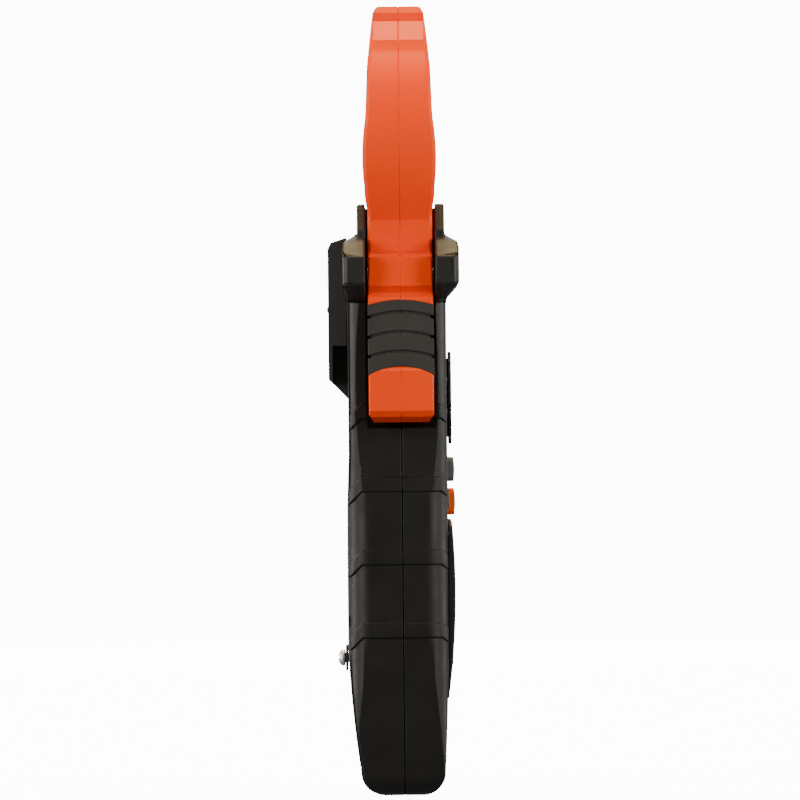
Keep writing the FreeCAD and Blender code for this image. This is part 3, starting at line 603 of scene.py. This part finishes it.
def spring_seat():
    """Ring-shaped recess for the return spring, in the front moulding."""
    post = round_prism(5.0, -13.0, -5.0, *PIVOT)
    return carved(round_prism(7.6, -12.0, -5.4, *PIVOT), "DIFFERENCE", [post])


def moving_jaw(side):
    """Moulding of the moving jaw, its lever and the trigger tip."""
    piece = jaw_half(MOVING_JAW, side)
    cuts = [core_pocket(91.0, 269.0), round_prism(4.0, -15.0, 15.0, *PIVOT)]
    cuts += alignment_marks(-30.0)
    cuts.append(grip_seat())
    behind_grip = [(-36.0, 136.0), (-20.0, 136.0), (-20.0, 153.5), (-36.0, 153.5)]
    cuts.append(prism(behind_grip, side * 9.2, side * 12.0))
    tip_corner = [(side * 10.3, 120.5), (side * 8.2, 117.0), (side * 12.0, 117.0)]
    cuts.append(side_prism(tip_corner, -45.0, -33.0))
    if side < 0:
        cuts.append(spring_seat())
    for x, z in JAW_SCREWS:
        cuts.append(round_prism(1.2, -7.0, 12.0, x, z))
        if side > 0:
            cuts.append(round_prism(2.3, 7.8, 12.0, x, z))
    return carved(piece, "DIFFERENCE", cuts)


def fixed_jaw(side):
    """Moulding of the fixed jaw, with the root that the housing holds."""
    piece = jaw_half(FIXED_JAW, side)
    root = prism([(6.0, 153.0), (27.0, 153.0), (27.0, 170.0), (6.0, 170.0)], 0.0, side * 11.0)
    carved(piece, "UNION", [root])
    return carved(piece, "DIFFERENCE", [core_pocket(-89.0, 89.0)] + alignment_marks(30.0))


def jaws():
    for side, word in ((-1, "front"), (1, "rear")):
        installed(moving_jaw(side), "moving_jaw_" + word + "_shell")
        installed(fixed_jaw(side), "fixed_jaw_" + word + "_shell")
    for name in ("trigger_grip_front", "trigger_grip_rear"):
        rounded(name, finish["grip_rubber"], 0.22 * MM)


# ---------------------------------------------------------------- housing

def housing_share(point):
    """Rounding of the hard housing: wide on the guard, fine elsewhere, none inside."""
    depth = depth_from_parting(point)
    on_parting_line = depth < 0.3 * MM
    on_guard = point.z > 155.0 * MM and (abs(point.x) > 33.5 * MM or depth > 13.5 * MM)
    on_cheeks = point.z > 176.0 * MM
    outside = depth > 11.5 * MM or point.z < 2.0 * MM or point.z > 150.0 * MM
    if on_parting_line:
        return 0.35
    if on_guard:
        return 1.0
    if on_cheeks:
        return 0.6
    return 0.4 if outside else 0.0


def holder_share(point):
    """Rounding of the probe holder: its outer edges only, not the rib and the screw recesses."""
    plain_half_width = 13.0 * MM
    return 0.0 if abs(point.x) < plain_half_width else 1.0


def housing():
    for name in ("front_housing", "rear_housing"):
        rounded(name, finish["hard_plastic"], 0.7 * MM, housing_share)
    rounded("probe_holder", finish["holder_plastic"], 0.25 * MM, holder_share)
    rounded("battery_cover", finish["hard_plastic"], 0.35 * MM)
    rounded("display_bezel", finish["hard_plastic"], 0.40 * MM)
    for name in ("front_rubber", "rear_rubber"):
        rounded(name, finish["overmould_rubber"], 0.30 * MM)


# ---------------------------------------------------------------- controls and fasteners

def controls():
    rounded("dial_knob", finish["dial_plastic"], 0.25 * MM)
    for name in ("hold_button", "range_button", "peak_button", "zero_button"):
        rounded(name, finish["grey_button"], 0.30 * MM)
    rounded("select_button", finish["orange_button"], 0.30 * MM)
    rounded("display_window", finish["window"], 0.15 * MM)


def fasteners():
    rounded("cover_screw", finish["steel"], 0.35 * MM)
    rounded("retaining_washer", finish["washer"], 0.10 * MM)
    for name in ("holder_screws", "housing_screws", "jaw_screws"):
        rounded(name, finish["screw_steel"], 0.15 * MM)
    rounded("pivot_pin", finish["steel"], 0.15 * MM)
    for name in ("common_socket", "volt_socket"):
        rounded(name, finish["brass"], 0.12 * MM)
    rounded("socket_block", finish["socket_plastic"], 0.20 * MM)


# ---------------------------------------------------------------- printed marks

# Height of the dial's centre, the faces that are printed on, half the thickness of the print.
DIAL_Z = 125.4
PANEL_FACE = -14.3
DISPLAY_FACE = -13.8
PRINT = 0.07


def printed(pieces, name, node, material):
    """Join thin drawn pieces into one printed mark, moving with the body of a CAD node."""
    bm = bmesh.new()
    for piece in pieces:
        bm.from_mesh(piece.data)
        bpy.data.objects.remove(piece)
    mark = object_from(bm, name, material)
    into_frame(mark, name)
    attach(mark, body_of_node[node])


def numeral(text, height, x, z):
    """Thin numeral on the front panel, centred on a point."""
    height_to_size = 0.7
    curve = bpy.data.curves.new("numeral", "FONT")
    curve.body = text
    curve.size = height / height_to_size
    curve.extrude = PRINT
    curve.align_x = "CENTER"
    curve.align_y = "CENTER"
    letter = bpy.data.objects.new("numeral", curve)
    bpy.context.scene.collection.objects.link(letter)
    mesh = evaluated_mesh(letter)
    bpy.data.objects.remove(letter)
    mesh.transform(Matrix.Translation((x, PANEL_FACE, z)) @ Matrix.Rotation(math.radians(90), 4, "X"))
    piece = bpy.data.objects.new("numeral", mesh)
    bpy.context.scene.collection.objects.link(piece)
    return piece


def dial_print():
    """Ticks and position numbers round the dial, and the line on its pointer."""
    positions = 8
    first_angle = -105
    angle_step = 30
    tick_start = 15.9
    tick_end = 17.3
    half_tick = 0.22
    number_radius = 19.6
    number_height = 2.7
    ink = moulded("white_print", (0.50, 0.50, 0.48), (0.58, 0.58, 0.56),
        (0.5, 0.6), 0.3 * MM, 0.004 * MM)
    marks = []
    for position in range(positions):
        turn = math.radians(first_angle + angle_step * position)
        along = Vector((math.sin(turn), math.cos(turn)))
        across = Vector((along.y, -along.x)) * half_tick
        centre = Vector((0.0, DIAL_Z))
        near = centre + along * tick_start
        far = centre + along * tick_end
        corners = [near - across, near + across, far + across, far - across]
        marks.append(prism([tuple(corner) for corner in corners], PANEL_FACE - PRINT, PANEL_FACE + PRINT))
        place = centre + along * number_radius
        marks.append(numeral(str(position), number_height, place.x, place.y))
    printed(marks, "dial_scale", "front_housing", ink)
    line = [(-0.42, DIAL_Z + 6.4), (0.42, DIAL_Z + 6.4), (0.42, DIAL_Z + 12.4), (-0.42, DIAL_Z + 12.4)]
    printed([prism(line, -15.52, -15.42)], "dial_pointer_line", "dial_knob", ink)


def display_mark(points):
    """Thin mark on the display."""
    return prism(points, DISPLAY_FACE - PRINT, DISPLAY_FACE + PRINT)


def segment(x, z, half_length, upright):
    """One bar of a seven-segment figure, pointed at both ends."""
    half_stroke = 0.75
    straight = half_length - half_stroke
    bar = [(-half_length, 0.0), (-straight, half_stroke), (straight, half_stroke), (half_length, 0.0),
           (straight, -half_stroke), (-straight, -half_stroke)]
    if upright:
        bar = [(b, a) for a, b in bar]
    return display_mark([(x + a, z + b) for a, b in bar])


def display_figures():
    """A plain zero reading and a scale of ticks on the display."""
    ink = moulded("display_ink", (0.012, 0.014, 0.012), (0.018, 0.020, 0.017),
        (0.3, 0.4), 0.3 * MM, 0.002 * MM)
    half = 3.9
    middle = 62.0
    reach = half + 0.25
    marks = []
    for x in (-12.0, 0.0, 12.0):
        for side in (-1, 1):
            marks.append(segment(x, middle + side * 2 * reach, half, False))
            marks.append(segment(x + side * reach, middle + reach, half, True))
            marks.append(segment(x + side * reach, middle - reach, half, True))
    marks.append(display_mark([(-6.7, 53.2), (-5.3, 53.2), (-5.3, 54.6), (-6.7, 54.6)]))
    bottom = 46.0
    half_tick = 0.2
    for tick in range(-10, 11):
        x = 1.5 * tick
        top = 48.4 if tick % 5 == 0 else 47.4
        left = x - half_tick
        right = x + half_tick
        marks.append(display_mark([(left, bottom), (right, bottom), (right, top), (left, top)]))
    printed(marks, "display_figures", "display_module", ink)


# ---------------------------------------------------------------- stage

def floor_material():
    """Pale and evenly bright."""
    material, _, shader = new_material("pale_floor", 0.8)
    shader.inputs["Base Color"].default_value = (0.80, 0.80, 0.80, 1.0)
    shader.inputs["Emission Color"].default_value = (1.0, 1.0, 1.0, 1.0)
    shader.inputs["Emission Strength"].default_value = 12.0
    return material


def floor_and_backdrop():
    """Pale round floor whose rim sweeps up into a pale wall on every side."""
    flat_radius = 3.4
    wall_radius = 4.6
    wall_height = 3.0
    steps = 12
    sides = 64
    profile = [(flat_radius, 0.0)]
    for step in range(1, steps + 1):
        angle = math.radians(90.0 * step / steps)
        radius = flat_radius + (wall_radius - flat_radius) * math.sin(angle)
        profile.append((radius, wall_height * (1 - math.cos(angle))))
    bm = bmesh.new()
    centre = bm.verts.new((0.0, 0.0, base_z))
    previous = None
    for radius, height in profile:
        ring = []
        for side in range(sides):
            turn = 2 * math.pi * side / sides
            ring.append(bm.verts.new((radius * math.cos(turn), radius * math.sin(turn), base_z + height)))
        for side in range(sides):
            after = (side + 1) % sides
            if previous is None:
                bm.faces.new((centre, ring[side], ring[after]))
            else:
                bm.faces.new((previous[side], ring[side], ring[after], previous[after]))
        previous = ring
    for face in bm.faces:
        face.smooth = True
    floor = object_from(bm, "studio_floor", floor_material())
    floor.visible_diffuse = False
    floor.visible_glossy = False
    floor.visible_transmission = False


def soft_light(name, place, target, size, watts, tint=(1.0, 1.0, 1.0)):
    """Rectangular lamp that faces a target."""
    light = bpy.data.lights.new(name, "AREA")
    light.shape = "RECTANGLE"
    light.size = size[0]
    light.size_y = size[1]
    light.energy = watts
    light.color = tint
    lamp = bpy.data.objects.new(name, light)
    bpy.context.scene.collection.objects.link(lamp)
    lamp.location = place
    lamp.rotation_mode = "QUATERNION"
    lamp.rotation_quaternion = (Vector(target) - Vector(place)).to_track_quat("-Z", "Y")


def studio_light():
    world = bpy.data.worlds.new("studio")
    bpy.context.scene.world = world
    world.use_nodes = True
    background = world.node_tree.nodes["Background"]
    background.inputs["Color"].default_value = (0.95, 0.97, 1.0, 1.0)
    background.inputs["Strength"].default_value = 0.25
    middle = (0.0, 0.0, 0.13)
    soft_light("overhead", (0.25, 0.0, 1.45), middle, (0.9, 1.4), 34.0, (1.0, 0.80, 0.42))
    soft_light("trigger_side_front", (-0.85, -1.2, 0.40), middle, (0.6, 1.0), 20.0)
    soft_light("trigger_side_back", (-0.85, 1.2, 0.40), middle, (0.6, 1.0), 20.0)
    soft_light("front", (0.45, -1.3, 0.35), middle, (0.8, 1.0), 11.0)
    soft_light("back", (0.45, 1.3, 0.35), middle, (0.8, 1.0), 14.0)
    soft_light("far_side", (1.4, 0.0, 0.5), middle, (0.8, 1.0), 8.0)


def camera():
    """Long lens at the trigger side, level with the middle of the meter."""
    distance = 2.4
    field = 0.25496
    roll = math.radians(-0.53)
    height = 124.8 * MM
    aside = 0.45 * MM
    lens = bpy.data.cameras.new("camera")
    lens.sensor_width = 36.0
    lens.lens = lens.sensor_width * distance / field
    lens.clip_end = 20.0
    eye = bpy.data.objects.new("camera", lens)
    bpy.context.scene.collection.objects.link(eye)
    eye.location = (-distance, parting_y + aside, height)
    eye.rotation_mode = "QUATERNION"
    level = Vector((1.0, 0.0, 0.0)).to_track_quat("-Z", "Y")
    eye.rotation_quaternion = level @ Quaternion((0.0, 0.0, 1.0), roll)
    bpy.context.scene.camera = eye


dress_cad_nodes()
jaws()
housing()
controls()
fasteners()
dial_print()
display_figures()
floor_and_backdrop()
studio_light()
camera()
